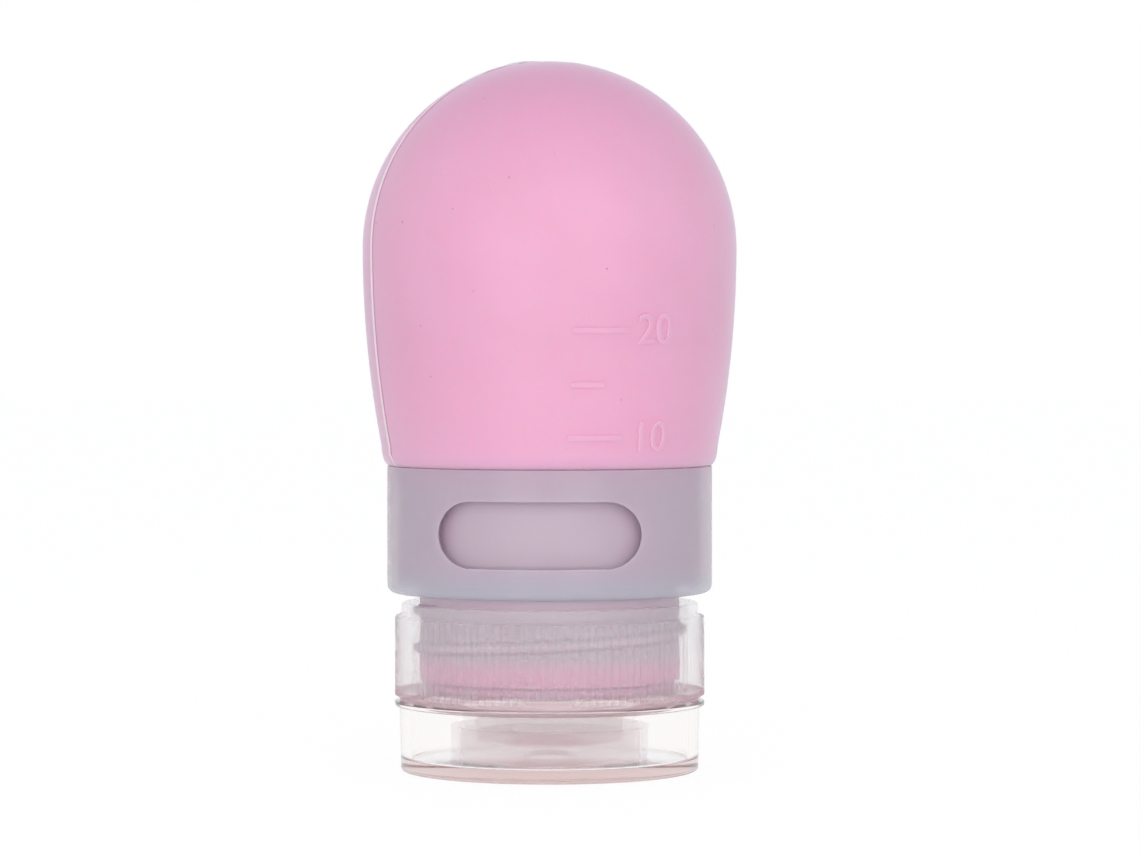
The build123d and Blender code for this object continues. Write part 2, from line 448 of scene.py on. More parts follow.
def prism(name: str, outline: Sequence[Point], start_x: float, length: float) -> bpy.types.Object:
    """Makes a prism along the X axis from an outline in the YZ plane.

    Args:
        name: The new piece's name.
        outline: Its corners as Y and Z, in order.
        start_x: The X of its first end.
        length: Its length along X.

    Returns:
        The prism, set down.
    """
    piece = draw_path(name, [(start_x, y, z) for y, z in [*outline, outline[0]]])
    bpy.ops.mesh.remove_doubles(threshold=WELD)
    bpy.ops.mesh.edge_face_add()
    bpy.ops.mesh.extrude_region_move(TRANSFORM_OT_translate={"value": (length, 0, 0)})
    weld_shell(piece)
    return piece


@dataclass
class Thread:
    """A right-hand screw thread round the Z axis, whose ends run out into its wall.

    Attributes:
        root: The radius of its root, just inside the wall.
        crest: The radius of its crest, smaller than the root for an inner thread.
        base: The height at which it starts.
        turns: How many turns it makes.
        width: How much of the wall it covers, along the axis.
        flat: Where along that width its crest starts and ends.
        edge: The rounding of its crest.
        steps: How many steps make a turn.
        run_out: How much of a turn each end takes to run out.
    """

    root: float
    crest: float
    base: float
    turns: float
    width: float = 1.4 * MM
    flat: Point = (0.45 * MM, 0.95 * MM)
    edge: float = 0.2 * MM
    steps: int = 96
    run_out: float = 0.09

    def ridge(self) -> list[Point]:
        """The closed outline of the ridge at its lower end, root first."""
        corners = [
            Corner(self.root, self.base),
            Corner(self.crest, self.base + self.flat[0], self.edge),
            Corner(self.crest, self.base + self.flat[1], self.edge),
            Corner(self.root, self.base + self.width),
        ]
        if self.crest < self.root:
            corners.reverse()
        return rounded(corners, steps=3)

    def build(self) -> bpy.types.Object:
        """Winds the ridge, closes its ends and returns it, set down."""
        ridge = self.ridge()
        piece = draw_outline("thread", ridge)
        bpy.ops.mesh.remove_doubles(threshold=WELD)
        leave_edit()
        set_down(piece)
        screw = piece.modifiers.new("thread", "SCREW")
        screw.axis = "Z"
        screw.angle = FULL_TURN * self.turns
        screw.screw_offset = SIZES.thread_lead * self.turns
        screw.steps = screw.render_steps = round(self.steps * self.turns)
        bpy.ops.object.modifier_apply(modifier=screw.name)
        for vertex in piece.data.vertices:
            angle = math.atan2(vertex.co.y, vertex.co.x)
            climbed = (vertex.co.z - ridge[0][1]) / SIZES.thread_lead
            wound = climbed - (climbed - angle / FULL_TURN + 0.5) % 1 + 0.5
            near_end = min(max(min(wound, self.turns - wound) / self.run_out, 0), 1)
            radius = math.hypot(vertex.co.x, vertex.co.y)
            share = (self.root + (radius - self.root) * near_end**0.5) / radius
            vertex.co.x *= share
            vertex.co.y *= share
        edit_all()
        bpy.ops.mesh.fill_holes(sides=0)
        weld_shell(piece)
        smooth(piece)
        return piece


def finish(
    piece: bpy.types.Object, material: bpy.types.Material, body: Body, node: str
) -> None:
    """Cleans and dresses a piece, hangs it on the body that carries it, and hides the node that it
    replaces.

    Args:
        piece: The piece, with all its shape.
        material: Its material.
        body: The body that carries it.
        node: The node that it replaces.
    """
    clean(piece)
    smooth(piece)
    piece.data.materials.clear()
    piece.data.materials.append(material)
    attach(piece, body.value)
    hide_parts(node)
    LOG.info("%s rides on %s with %d faces", piece.name, body.value, len(piece.data.polygons))


def linear(colour: Colour) -> tuple[float, float, float, float]:
    """Turns a colour as it is seen on screen into the light values that shaders use.

    Args:
        colour: Red, green and blue from 0 to 1, as on screen.

    Returns:
        The linear colour with a full alpha.
    """
    values = []
    for value in colour:
        low = value / 12.92
        high = ((value + 0.055) / 1.055) ** 2.4
        values.append(low if value <= 0.04045 else high)
    return (values[0], values[1], values[2], 1.0)


@dataclass(frozen=True)
class Blush:
    """A colour that takes over with the height, from start to end. Some of these are painted light and
    painted shade.
    """

    colour: Colour
    start: float
    end: float


class Nodes:
    """A node tree, with short ways to add and join its nodes."""

    def __init__(self, tree: bpy.types.NodeTree) -> None:
        """Takes up a tree.

        Args:
            tree: The tree of a material or a world.
        """
        self.tree = tree

    def add(self, kind: str, **settings: object) -> bpy.types.Node:
        """Adds a node and sets its properties.

        Args:
            kind: The node's type.
            settings: Properties of the node.

        Returns:
            The new node.
        """
        node = self.tree.nodes.new(kind)
        for key, value in settings.items():
            setattr(node, key, value)
        return node

    def join(self, source: bpy.types.NodeSocket, target: bpy.types.NodeSocket) -> None:
        """Links an output to an input."""
        self.tree.links.new(source, target)

    def span(
        self, value: bpy.types.NodeSocket, start: Point, end: Point = (0.0, 1.0)
    ) -> bpy.types.NodeSocket:
        """Maps a value from one pair of numbers onto another, held at both ends."""
        node = self.add("ShaderNodeMapRange")
        node.inputs["From Min"].default_value, node.inputs["From Max"].default_value = start
        node.inputs["To Min"].default_value, node.inputs["To Max"].default_value = end
        self.join(value, node.inputs["Value"])
        return node.outputs["Result"]

    def work_out(self, operation: str, *values: bpy.types.NodeSocket | float) -> bpy.types.NodeSocket:
        """Works out a number from one or two others.

        Args:
            operation: The sum's kind.
            values: Outputs of nodes, or plain numbers.

        Returns:
            The result.
        """
        node = self.add("ShaderNodeMath", operation=operation)
        for value, target in zip(values, node.inputs):
            if isinstance(value, float):
                target.default_value = value
            else:
                self.join(value, target)
        return node.outputs["Value"]

    def pick(
        self, share: bpy.types.NodeSocket, low: bpy.types.NodeSocket, high: bpy.types.NodeSocket
    ) -> bpy.types.NodeSocket:
        """Mixes two shaders, of which the second shows where the share is one."""
        node = self.add("ShaderNodeMixShader")
        for source, target in zip((share, low, high), node.inputs):
            self.join(source, target)
        return node.outputs["Shader"]


class NodeBoard(Nodes):
    """A material's nodes, with the patterns that the finishes share."""

    def __init__(self, name: str, values: dict[str, object]) -> None:
        """Starts a material with a Principled shader.

        Args:
            name: The material's name.
            values: What is the same all over the surface, by the shader's sockets.
        """
        self.material = bpy.data.materials.new(name)
        self.material.use_nodes = True
        super().__init__(self.material.node_tree)
        self.shader = self.tree.nodes["Principled BSDF"]
        self.output = self.tree.nodes["Material Output"]
        self.coordinates = self.add("ShaderNodeTexCoord").outputs["Object"]
        for socket, value in values.items():
            self.shader.inputs[socket].default_value = value

    def noise(self, size: float, detail: float) -> bpy.types.NodeSocket:
        """Adds noise over the piece.

        Args:
            size: The size of its patches, in metres.
            detail: How many finer layers it has.

        Returns:
            The noise value, from 0 to 1.
        """
        noise = self.add("ShaderNodeTexNoise")
        noise.inputs["Scale"].default_value = 1 / size
        noise.inputs["Detail"].default_value = detail
        self.join(self.coordinates, noise.inputs["Vector"])
        return noise.outputs["Fac"]

    def clouds(
        self, size: float, deep: Colour, pale: Colour, blushes: Sequence[Blush]
    ) -> bpy.types.NodeSocket:
        """Clouds a surface softly between two colours, and lets its colour change with the height,
        which in places is painted light and shade.

        Args:
            size: The size of the clouds, in metres.
            deep: The deeper colour, as on screen.
            pale: The paler colour, as on screen.
            blushes: The colours that take over with the height, some of them painted light and shade.

        Returns:
            The clouded colour.
        """
        ramp = self.add("ShaderNodeValToRGB")
        for element, position, colour in zip(ramp.color_ramp.elements, PATCH_RANGE, (deep, pale)):
            element.position = position
            element.color = linear(colour)
        self.join(self.noise(size, PATCH_DETAIL), ramp.inputs["Fac"])
        colour = ramp.outputs["Color"]
        for blush in blushes:
            height = self.add("ShaderNodeSeparateXYZ")
            self.join(self.coordinates, height.inputs["Vector"])
            share = self.span(height.outputs["Z"], (blush.start, blush.end))
            colour = self.lay(share, colour, blush.colour)
        return colour

    def lay(
        self, share: bpy.types.NodeSocket, under: bpy.types.NodeSocket, over: Colour
    ) -> bpy.types.NodeSocket:
        """Lays a plain colour over another.

        Args:
            share: How much of it covers, from 0 to 1.
            under: The colour below.
            over: The plain colour, as on screen.

        Returns:
            The mixed colour.
        """
        mix = self.add("ShaderNodeMix", data_type="RGBA")
        self.join(share, mix.inputs[MIX_SHARE])
        self.join(under, mix.inputs[MIX_UNDER])
        mix.inputs[MIX_OVER].default_value = linear(over)
        return mix.outputs[MIX_RESULT]

    def surface(
        self, haze: bpy.types.NodeSocket, gloss: Point, grain: bpy.types.NodeSocket, relief: float
    ) -> None:
        """Lets the roughness vary a little and gives the shader a fine relief.

        Args:
            haze: The noise that the roughness follows.
            gloss: The lowest and the highest roughness.
            grain: The relief's height, from 0 to 1.
            relief: The depth that 1 stands for, in metres.
        """
        self.join(self.span(haze, NOISE_RANGE, gloss), self.shader.inputs["Roughness"])
        bump = self.add("ShaderNodeBump")
        bump.inputs["Strength"].default_value = 1.0
        bump.inputs["Distance"].default_value = relief
        self.join(grain, bump.inputs["Height"])
        self.join(bump.outputs["Normal"], self.shader.inputs["Normal"])

    def specks(self, colour: bpy.types.NodeSocket, dark: Colour) -> bpy.types.NodeSocket:
        """Strews a few specks of dust over a colour.

        Args:
            colour: The clean colour.
            dark: The dust's colour, as on screen.

        Returns:
            The colour with its specks.
        """
        cells = self.add("ShaderNodeTexVoronoi")
        cells.inputs["Scale"].default_value = 1 / SPECK_SPACING
        self.join(self.coordinates, cells.inputs["Vector"])
        random = self.add("ShaderNodeSeparateColor")
        self.join(cells.outputs["Color"], random.inputs["Color"])
        near = self.span(cells.outputs["Distance"], (0.0, SPECK_RADIUS / SPECK_SPACING), (1.0, 0.0))
        return self.lay(self.work_out("MULTIPLY", near, random.outputs["Red"]), colour, dark)

    def seam(self, colour: bpy.types.NodeSocket) -> bpy.types.NodeSocket:
        """Paints light along the mould's parting line over a colour: a painted highlight on its crest
        between two lines of painted shade at its edges.

        Args:
            colour: The colour away from the line.

        Returns:
            The colour with its line.
        """
        away = self.add("ShaderNodeVectorMath", operation="DOT_PRODUCT")
        self.join(self.coordinates, away.inputs[0])
        away.inputs[1].default_value = SEAM_ACROSS
        distance = self.work_out("ABSOLUTE", away.outputs["Value"])
        for tint, width in SEAM_PAINTED_LIGHT:
            colour = self.lay(self.span(distance, width, (1.0, 0.0)), colour, tint)
        return colour

    def absorb(self, colour: Colour, density: float) -> None:
        """Tints the light that passes through the solid by how far it goes.

        Args:
            colour: The tint, as on screen.
            density: How strong it is, per metre.
        """
        volume = self.add("ShaderNodeVolumeAbsorption")
        volume.inputs["Color"].default_value = linear(colour)
        volume.inputs["Density"].default_value = density
        self.join(volume.outputs["Volume"], self.output.inputs["Volume"])


@dataclass(frozen=True)
class Silicone:
    """Soft translucent rubber that scatters the light inside its wall."""

    name: str
    pale: Colour
    deep: Colour
    scatter: Colour
    reach: float
    gloss: Point = (0.30, 0.40)
    ior: float = 1.41
    film: float = 0.0
    film_roughness: float = 0.3
    veil: float = 1.0
    patch: float = 9.0 * MM
    grain: float = 0.35 * MM
    relief: float = 0.003 * MM
    dust: bool = False
    dust_share: float = 0.58
    # Whether the seam gets its painted highlight and painted shade.
    seam: bool = False
    blushes: tuple[Blush, ...] = ()

    def material(self) -> bpy.types.Material:
        """Builds the finish and returns its material."""
        board = NodeBoard(
            self.name,
            {
                "Subsurface Weight": 1.0,
                "Subsurface Radius": self.scatter,
                "Subsurface Scale": self.reach,
                "IOR": self.ior,
                "Alpha": self.veil,
                "Sheen Weight": self.film,
                "Sheen Roughness": self.film_roughness,
                "Sheen Tint": linear(FILM_TINT),
            },
        )
        board.shader.subsurface_method = "RANDOM_WALK"
        colour = board.clouds(self.patch, self.deep, self.pale, self.blushes)
        if self.dust:
            colour = board.specks(colour, tuple(self.dust_share * value for value in self.deep))
        # The seam's painted highlight and painted shade.
        if self.seam:
            colour = board.seam(colour)
        board.join(colour, board.shader.inputs["Base Color"])
        grain = board.noise(self.grain, detail=4.0)
        board.surface(grain, self.gloss, grain, self.relief)
        return board.material


@dataclass(frozen=True)
class ClearPlastic:
    """Clear moulded polypropylene with a faint tint that deepens along its thickness."""

    name: str
    tint: Colour
    density: float
    gloss: Point = (0.03, 0.08)
    ior: float = 1.46
    haze: float = 2.5 * MM
    grain: float = 1.2 * MM
    relief: float = 0.002 * MM

    def material(self) -> bpy.types.Material:
        """Builds the finish and returns its material."""
        values = {"Base Color": linear(WHITE), "Transmission Weight": 1.0, "IOR": self.ior}
        board = NodeBoard(self.name, values)
        haze = board.noise(self.haze, detail=3.0)
        board.surface(haze, self.gloss, board.noise(self.grain, detail=2.0), self.relief)
        board.absorb(self.tint, self.density)
        return board.material


@dataclass(frozen=True)
class MilkyPlastic:
    """Milky moulded plastic that scatters light and lets some of it straight through.

    Attributes:
        name: The material's name.
        pale: The paler colour, as on screen.
        deep: The deeper colour, as on screen.
        reach: How far the light goes inside, in metres.
        through: How much of the light is refracted, as by frosted glass.
        veil: How much of the surface is milk. The rest is clear.
    """

    name: str
    pale: Colour
    deep: Colour
    reach: float = 1.0 * MM
    through: float = 0.0
    scatter: Colour = (1.0, 0.9, 0.95)
    gloss: Point = (0.35, 0.45)
    ior: float = 1.49
    veil: float = 1.0
    patch: float = 6.0 * MM
    haze: float = 1.5 * MM
    grain: float = 0.8 * MM
    relief: float = 0.0015 * MM
    blushes: tuple[Blush, ...] = ()

    def material(self) -> bpy.types.Material:
        """Builds the finish and returns its material."""
        board = NodeBoard(
            self.name,
            {
                "Alpha": self.veil,
                "Transmission Weight": self.through,
                "Subsurface Weight": 1.0,
                "Subsurface Radius": self.scatter,
                "Subsurface Scale": self.reach,
                "IOR": self.ior,
            },
        )
        colour = board.clouds(self.patch, self.deep, self.pale, self.blushes)
        board.join(colour, board.shader.inputs["Base Color"])
        haze = board.noise(self.haze, detail=3.0)
        board.surface(haze, self.gloss, board.noise(self.grain, detail=2.0), self.relief)
        return board.material


PINK_SILICONE = Silicone(
    name="pink_silicone",
    pale=(0.945, 0.715, 0.83),
    deep=(0.935, 0.70, 0.815),
    scatter=(1.0, 0.55, 0.75),
    reach=2.3 * MM,
    film=0.65,
    dust=True,
    seam=True,
    blushes=(
        # Paler and pinker towards the bottom: painted light, as from below.
        Blush((0.985, 0.73, 0.845), 46.0 * MM, 33.5 * MM),
        # Deeper towards the top of the dome: painted shade.
        Blush((0.945, 0.685, 0.82), 62.0 * MM, 75.0 * MM),
    ),
)
VALVE_RUBBER = Silicone(
    name="valve_rubber",
    pale=(1.0, 0.66, 0.78),
    deep=(0.99, 0.64, 0.765),
    scatter=(1.0, 0.9, 0.95),
    reach=2.0 * MM,
    veil=0.15,
    relief=0.0008 * MM,
    blushes=(Blush((1.0, 0.90, 0.935), 3.2 * MM, 3.6 * MM),),
)
FROSTED_NECK = MilkyPlastic(
    name="frosted_neck",
    pale=(0.85, 0.785, 0.835),
    deep=(0.835, 0.77, 0.82),
    through=0.1,
    reach=0.8 * MM,
    blushes=(
        # Lighter towards the collar: painted light that lifts the shade the collar casts on the neck.
        Blush((0.965, 0.88, 0.925), 17.0 * MM, 18.6 * MM),
        Blush((0.97, 0.74, 0.845), 12.6 * MM, 11.2 * MM),
    ),
)
LILAC_LABEL = MilkyPlastic(
    name="lilac_label", pale=(0.82, 0.75, 0.80), deep=(0.81, 0.735, 0.79), reach=0.5 * MM
)
SMOKY_COLLAR = MilkyPlastic(
    name="smoky_collar",
    pale=(0.85, 0.785, 0.84),
    deep=(0.84, 0.775, 0.83),
    reach=1.2 * MM,
    gloss=(0.2, 0.26),
    veil=0.75,
    blushes=(
        # Greyer and bluer towards the rounded foot: painted light.
        Blush((0.82, 0.815, 0.86), 22.5 * MM, 19.3 * MM),
        # Pinker towards the top: painted pink light from the silicone body above.
        Blush((0.855, 0.765, 0.835), 29.5 * MM, 32.6 * MM),
    ),
)
HAZY_CAP = MilkyPlastic(
    name="hazy_cap",
    pale=(1.0, 0.955, 0.955),
    deep=(0.99, 0.94, 0.94),
    gloss=(0.22, 0.3),
    ior=1.3,
    veil=0.18,
)
# A deeper, pinker copy of the cap plastic for the deck: more opaque where the plastic is thick, and
# tinted as painted pink light.
DECK_PAINTED_LIGHT = MilkyPlastic(
    name="deck_painted_light",
    pale=(0.88, 0.755, 0.79),
    deep=(0.87, 0.74, 0.775),
    gloss=(0.22, 0.3),
    ior=1.3,
    veil=0.6,
)
# A paler, clearer copy of the cap plastic for the spout: a painted highlight where the spout lies in
# shade under the deck.
SPOUT_PAINTED_HIGHLIGHT = MilkyPlastic(
    name="spout_painted_highlight",
    pale=(1.0, 0.94, 0.91),
    deep=(0.99, 0.925, 0.895),
    gloss=(0.2, 0.26),
    ior=1.4,
    veil=0.09,
)
CLEAR_RETAINER = MilkyPlastic(
    name="clear_retainer",
    pale=(1.0, 0.965, 0.96),
    deep=(0.99, 0.95, 0.945),
    gloss=(0.2, 0.3),
    ior=1.35,
    veil=0.06,
)
HAZY_SEAL = MilkyPlastic(
    name="hazy_seal",
    pale=(1.0, 0.885, 0.91),
    deep=(0.99, 0.87, 0.895),
    gloss=(0.2, 0.26),
    ior=1.4,
    veil=0.13,
)
CLEAR_LID = ClearPlastic(name="clear_lid", tint=(0.885, 0.73, 0.71), density=32.0, ior=1.33)


def redress(
    piece: bpy.types.Object, material: bpy.types.Material, wanted: Callable[[Vector], bool]
) -> None:
    """Gives the faces at the wanted places a further material.

    Args:
        piece: The dressed piece.
        material: The further material, a copy of the piece's own with painted light.
        wanted: Says for a face's middle whether it gets the finish.
    """
    piece.data.materials.append(material)
    slot = len(piece.data.materials) - 1
    for face in piece.data.polygons:
        if wanted(face.center):
            face.material_index = slot


@dataclass
class SiliconeBody:
    """The soft body: dome, belly, shoulder, neck and lip in one moulding, and its relief."""

    dome_chords: int = 48
    belly_chords: int = 24
    shoulder_chords: int = 8
    inner_belly_chords: int = 20
    inner_dome_chords: int = 40
    shoulder_drop: float = 0.9 * MM
    shoulder_rise: float = 2.0 * MM
    collar_gap: float = 0.02 * MM
    lip_radius: float = 13.4 * MM
    lip_edges: tuple[float, float, float] = (0.15 * MM, 0.3 * MM, 0.2 * MM)
    inner_round: float = 2.4 * MM
    inner_rise: float = 4.0 * MM
    seam_height: float = 0.2 * MM
    seam_offsets: tuple[float, ...] = (-0.34 * MM, -0.17 * MM, 0.0, 0.17 * MM, 0.34 * MM)
    seam_lifts: tuple[Point, ...] = ((0.2 * MM, 0.6), (0.03 * MM, 0.4))
    scale_turn: float = -66.5
    mark_heights: tuple[float, ...] = (35.9 * MM, 41.4 * MM, 47.0 * MM)
    mark_start: float = -5.6 * MM
    long_mark: float = 6.0 * MM
    short_mark: float = 3.6 * MM
    mark_width: float = 0.6 * MM
    mark_relief: float = 0.16 * MM
    mark_edge: float = 0.06 * MM
    mark_cuts: int = 3
    number_start: float = 1.4 * MM
    number_size: float = 4.4 * MM
    number_chords: int = 6

    def belly_radius(self, height: float, offset: float = 0.0) -> float:
        """The radius of the belly's arc, moved inwards.

        Args:
            height: Where along the axis.
            offset: How far the arc is moved inwards.

        Returns:
            The radius there.
        """
        reach = SIZES.belly_arc_radius - offset
        rise = SIZES.equator_z - height
        return SIZES.body_radius - SIZES.belly_arc_radius + math.sqrt(reach**2 - rise**2)

    def belly(self, start: float, end: float, steps: int, offset: float = 0.0) -> list[Point]:
        """Points along the belly's arc, without the one at its start.

        Args:
            start: The height that it starts from.
            end: The height of the last point.
            steps: How many chords stand for the arc.
            offset: How far the arc is moved inwards.

        Returns:
            The points, from start to end.
        """
        heights = [start + (end - start) * step / steps for step in range(1, steps + 1)]
        return [(self.belly_radius(height, offset), height) for height in heights]

    def section(self) -> list[Point]:
        """The half section from the dome's top, down the outside and back up the inside."""
        crown = (0.0, SIZES.equator_z)
        points = arc(crown, SIZES.body_radius, 90, 0, self.dome_chords)
        rest = SIZES.collar_top_z + self.collar_gap
        bottom = SIZES.shoulder_z + self.shoulder_rise
        points += self.belly(SIZES.equator_z, bottom, self.belly_chords)
        edge = self.belly_radius(bottom)
        for step in range(1, self.shoulder_chords + 1):
            lean = math.radians(90 * step / self.shoulder_chords)
            drop = self.shoulder_drop * (1 - math.cos(lean))
            points.append((edge - drop, bottom - (bottom - rest) * math.sin(lean)))
        points += [(SIZES.flange_radius, rest), (SIZES.flange_radius, SIZES.shoulder_z)]
        floor = SIZES.shoulder_z + SIZES.body_wall
        ledge = self.belly_radius(floor, SIZES.body_wall)
        wall_z = floor + self.inner_rise
        upper, lower, inner = self.lip_edges
        inside = rounded(
            [
                Corner(SIZES.silicone_neck_radius, SIZES.shoulder_z),
                Corner(SIZES.silicone_neck_radius, SIZES.neck_end_z),
                Corner(self.lip_radius, SIZES.neck_end_z, upper),
                Corner(self.lip_radius, SIZES.lip_z, lower),
                Corner(SIZES.mouth_radius, SIZES.lip_z, inner),
                Corner(SIZES.mouth_radius, floor, self.inner_round),
                Corner(ledge, floor, self.inner_round),
                Corner(self.belly_radius(wall_z, SIZES.body_wall), wall_z),
            ]
        )
        points += inside[:-1]
        points += self.belly(wall_z, SIZES.equator_z, self.inner_belly_chords, SIZES.body_wall)
        points += arc(crown, SIZES.body_radius - SIZES.body_wall, 0, 90, self.inner_dome_chords)[1:]
        return points

    def seam(self, piece: bpy.types.Object) -> None:
        """Raises the mould's parting line round the outside of the body.

        Args:
            piece: The turned body.
        """
        across = Vector(SEAM_ACROSS)
        take_up(piece)
        for offset in self.seam_offsets:
            edit_all()
            bpy.ops.mesh.bisect(plane_co=across * offset, plane_no=across)
        leave_edit()
        middle = SIZES.body_wall / 2

        def outside(place: Vector) -> bool:
            """Says whether a place lies on the outer face of dome or belly."""
            if place.z < SIZES.shoulder_z + self.shoulder_rise / 2:
                return False
            rise = max(place.z - SIZES.equator_z, 0)
            around = math.hypot(place.x, place.y)
            reach = math.hypot(around, rise)
            wall = SIZES.body_radius if rise > 0 else self.belly_radius(place.z)
            return reach > wall - middle

        for limit, share in self.seam_lifts:

            def on_seam(vertex: bpy.types.MeshVertex, limit: float = limit) -> bool:
                """Says whether a vertex lies outside on the seam, nearer its middle than the limit."""
                return abs(vertex.co.dot(across)) < limit and outside(vertex.co)

            select_vertices(piece, on_seam)
            bpy.ops.transform.shrink_fatten(value=self.seam_height * share)
            leave_edit()
        crown = SIZES.equator_z + SIZES.body_radius
        for vertex in piece.data.vertices:
            vertex.co.z = min(vertex.co.z, crown)

    def wrap(self, piece: bpy.types.Object) -> None:
        """Bends the flat scale, drawn round the origin with -Y outwards, onto the belly.

        Args:
            piece: The scale, X along the round, Z up at its real height.
        """
        for vertex in piece.data.vertices:
            radius = self.belly_radius(vertex.co.z)
            around = math.radians(self.scale_turn) + vertex.co.x / radius
            reach = radius - vertex.co.y
            vertex.co.x = reach * math.cos(around)
            vertex.co.y = reach * math.sin(around)

    def level_marks(self) -> bpy.types.Object:
        """Makes the raised level marks and their plain numbers as one solid."""
        marks = []
        for index, height in enumerate(self.mark_heights):
            numbered = index % 2 == 0
            length = self.long_mark if numbered else self.short_mark
            centre = Vector((self.mark_start + length / 2, 0, height))
            size = Vector((length, 2 * self.mark_relief, self.mark_width))
            marks.append(block("level_mark", centre, size, self.mark_edge))
            edit_all()
            bpy.ops.mesh.subdivide(number_cuts=self.mark_cuts)
            leave_edit()
            if numbered:
                marks.append(self.level_number(str(10 * (1 + index // 2)), height))
        clear_selection()
        for mark in marks:
            mark.select_set(True)
        bpy.context.view_layer.objects.active = marks[0]
        bpy.ops.object.join()
        relief = bpy.context.object
        self.wrap(relief)
        edit_all()
        bpy.ops.mesh.normals_make_consistent(inside=False)
        leave_edit()
        return relief

    def level_number(self, text: str, height: float) -> bpy.types.Object:
        """Makes one plain raised number beside its mark.

        Args:
            text: The number.
            height: The height of its middle.

        Returns:
            The number as a flat mesh, not yet bent.
        """
        clear_selection()
        place = (self.number_start, 0, height)
        bpy.ops.object.text_add(location=place, rotation=(math.radians(90), 0, 0))
        letters = named("level_number")
        letters.data.body = text
        letters.data.size = self.number_size
        letters.data.align_y = "CENTER"
        letters.data.extrude = self.mark_relief - self.mark_edge
        letters.data.bevel_depth = self.mark_edge
        letters.data.resolution_u = self.number_chords
        bpy.ops.object.convert(target="MESH")
        set_down(letters)
        edit_all()
        bpy.ops.mesh.remove_doubles(threshold=WELD)
        leave_edit()
        return letters

    def build(self, material: bpy.types.Material) -> None:
        """Builds the body with its seam and marks.

        Args:
            material: The body's finish.
        """
        body = turn("silicone_body", self.section())
        self.seam(body)
        work(body, self.level_marks(), Cut.ADD)
        finish(body, material, Body.BOTTLE, "silicone_bottle")


def upright_rib(
    radius: float, height: float, width: float, turned: float, past: float
) -> bpy.types.Object:
    """Makes an upright rib that stands on or cuts into the wall behind the label window.

    Args:
        radius: The radius of the wall.
        height: How far it stands out of the wall.
        width: Its width along the round.
        turned: Where on the round it stands, in degrees from +X.
        past: How far it reaches past the label ring's ends.

    Returns:
        The rib, rooted as deep in the wall as it stands out.
    """
    tall = SIZES.flange_z - SIZES.ring_z
    centre = Vector((radius, 0, SIZES.ring_z + tall / 2))
    rib = block("rib", centre, Vector((2 * height, width, tall + 2 * past)))
    rib.data.transform(Matrix.Rotation(math.radians(turned), 4, "Z"))
    return rib


@dataclass
class ThreadedNeck:
    """The frosted tube between shoulder and lip, with its thread and its flange."""

    bore_radius: float = 12.6 * MM
    groove_radius: float = 13.45 * MM
    groove_z: float = 18.95 * MM
    groove_top_z: float = 20.35 * MM
    edge: float = 0.12 * MM
    thread_root: float = 0.1 * MM
    thread_height: float = 0.75 * MM
    thread_turns: float = 1.6
    thread_z: float = 10.4 * MM
    key_width: float = 1.6 * MM
    key_height: float = 0.7 * MM
    key_past: float = 0.1 * MM

    def build(self, material: bpy.types.Material) -> None:
        """Builds the neck.

        Args:
            material: The neck's finish.
        """
        outline = rounded(
            [
                Corner(self.bore_radius, SIZES.neck_end_z),
                Corner(SIZES.neck_radius, SIZES.neck_end_z, 2 * self.edge),
                Corner(SIZES.neck_radius, self.groove_z, self.edge),
                Corner(self.groove_radius, self.groove_z),
                Corner(self.groove_radius, self.groove_top_z),
                Corner(SIZES.neck_radius, self.groove_top_z, self.edge),
                Corner(SIZES.neck_radius, SIZES.flange_z),
                Corner(SIZES.flange_radius, SIZES.flange_z, self.edge),
                Corner(SIZES.flange_radius, SIZES.shoulder_z, self.edge),
                Corner(self.bore_radius, SIZES.shoulder_z),
            ]
        )
        neck = turn("frosted_neck", outline)
        thread = Thread(
            root=SIZES.neck_radius - self.thread_root,
            crest=SIZES.neck_radius + self.thread_height,
            base=self.thread_z,
            turns=self.thread_turns,
        )
        work(neck, thread.build(), Cut.ADD)
        for turned in KEY_TURNS:
            key = upright_rib(SIZES.neck_radius, self.key_height, self.key_width, turned, self.key_past)
            work(neck, key, Cut.ADD)
        finish(neck, material, Body.BOTTLE, "threaded_neck")


@dataclass
class LabelRing:
    """The ring of plain label fields behind the collar's window."""

    bore_radius: float = 14.0 * MM
    radius: float = 15.85 * MM
    edge: float = 0.15 * MM
    divider_turns: tuple[int, ...] = (40, 130, 220, 310)
    divider_height: float = 0.2 * MM
    divider_width: float = 0.5 * MM
    keyway_depth: float = 0.8 * MM
    keyway_width: float = 1.8 * MM
    keyway_past: float = 1.0 * MM

    def build(self, material: bpy.types.Material) -> None:
        """Builds the ring.

        Args:
            material: The ring's finish.
        """
        outline = rounded(
            [
                Corner(self.bore_radius, SIZES.ring_z, self.edge),
                Corner(self.radius, SIZES.ring_z, self.edge),
                Corner(self.radius, SIZES.flange_z, self.edge),
                Corner(self.bore_radius, SIZES.flange_z, self.edge),
            ]
        )
        ring = turn("label_fields", outline)
        for turned in self.divider_turns:
            rib = upright_rib(self.radius, self.divider_height, self.divider_width, turned, -self.edge)
            work(ring, rib, Cut.ADD)
        for turned in KEY_TURNS:
            slot = upright_rib(
                self.bore_radius, self.keyway_depth, self.keyway_width, turned, self.keyway_past
            )
            work(ring, slot, Cut.REMOVE)
        finish(ring, material, Body.BOTTLE, "label_ring")


